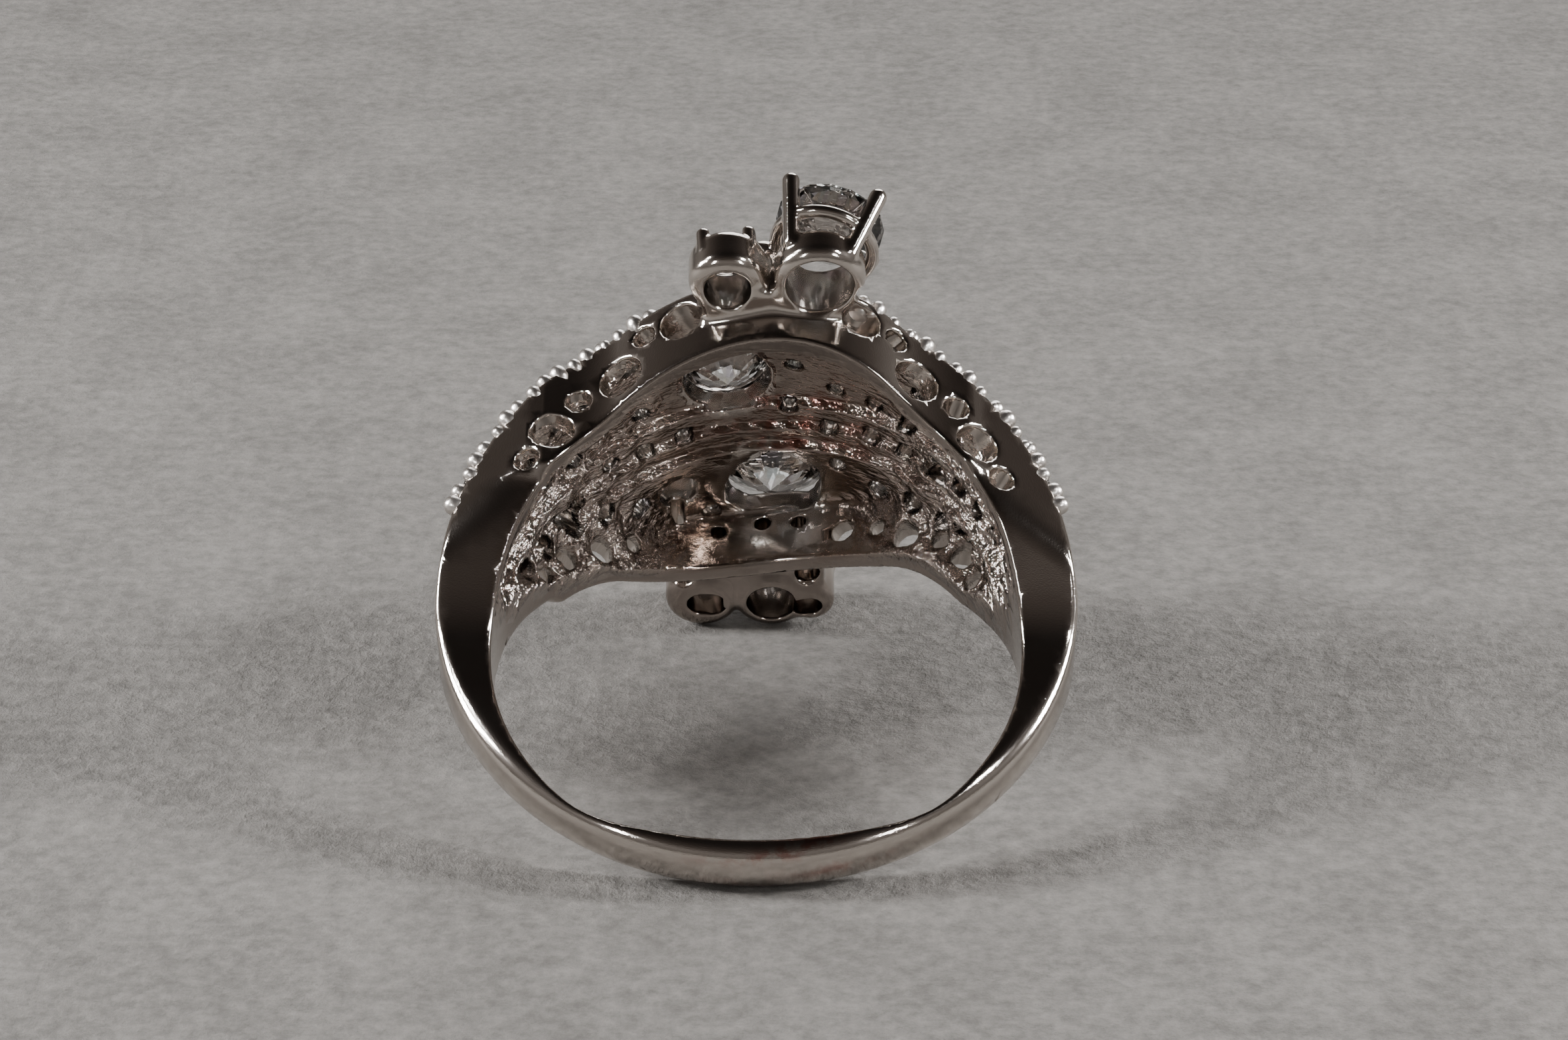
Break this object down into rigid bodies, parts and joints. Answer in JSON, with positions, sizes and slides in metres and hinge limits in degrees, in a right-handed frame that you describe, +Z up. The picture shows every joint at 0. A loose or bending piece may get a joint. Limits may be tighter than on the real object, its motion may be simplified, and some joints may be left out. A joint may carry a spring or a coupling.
{
  "type": "domed cluster ring",
  "caption": "Wide pierced dome ring with a narrow polished shank, graduated cut stones and a raised stone head on each side, lying on its shank and far head.",
  "frame": {"origin": "middle of the floor box, on the surface that the ring lies on", "axes": "+Z up, +Y from the near shank to the far heads, +X to the right as the picture is seen"},
  "size_m": [0.0208, 0.0224, 0.0181],
  "materials": {
    "white_gold": "polished, with a rough cast inside",
    "diamond": "cut and polished, colourless"
  },
  "bodies": {
    "root": {"ring_mount": "white_gold", "far_centre_stone": "diamond", "near_centre_stone": "diamond", "side_stone": "diamond", "tall_head_stone": "diamond", "round_head_stone": "diamond", "between_head_stone": "diamond", "far_left_stone": "diamond", "far_middle_stone": "diamond", "far_right_stone": "diamond", "near_edge_stones": "diamond", "far_edge_stones": "diamond", "dome_stones": "diamond"}
  },
  "joints": []
}
